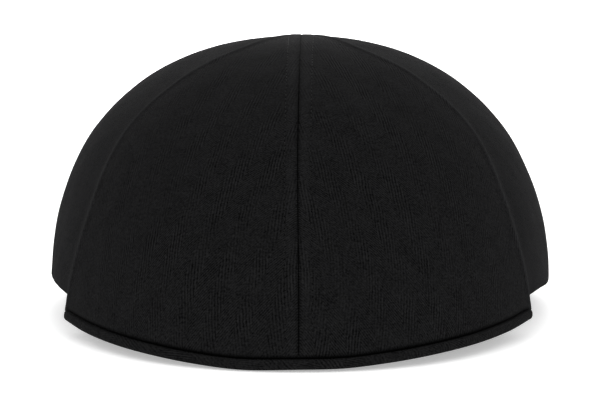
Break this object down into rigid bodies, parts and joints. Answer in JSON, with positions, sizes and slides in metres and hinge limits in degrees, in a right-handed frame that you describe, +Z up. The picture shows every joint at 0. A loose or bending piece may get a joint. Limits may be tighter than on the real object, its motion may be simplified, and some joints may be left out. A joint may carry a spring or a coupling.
{
  "type": "driver cap",
  "caption": "Low flat cap with a domed crown of sewn herringbone panels, drawn down over a short stiff peak with a rolled edge, and an inner headband.",
  "frame": {"origin": "middle of the cap's outline seen from above, on the surface that the cap lies on", "axes": "+Z up, the peak faces -Y, +X to the right of someone who looks at the front of the cap"},
  "size_m": [0.198, 0.266, 0.1054],
  "materials": {
    "herringbone_cloth": "matt black herringbone twill, black on black, with a faint sheen at grazing angles",
    "band_twill": "matt black twill tape"
  },
  "bodies": {
    "root": {"front_panel_left": "herringbone_cloth", "front_panel_right": "herringbone_cloth", "side_panel_left": "herringbone_cloth", "side_panel_right": "herringbone_cloth", "peak": "herringbone_cloth", "headband": "band_twill"}
  },
  "joints": []
}
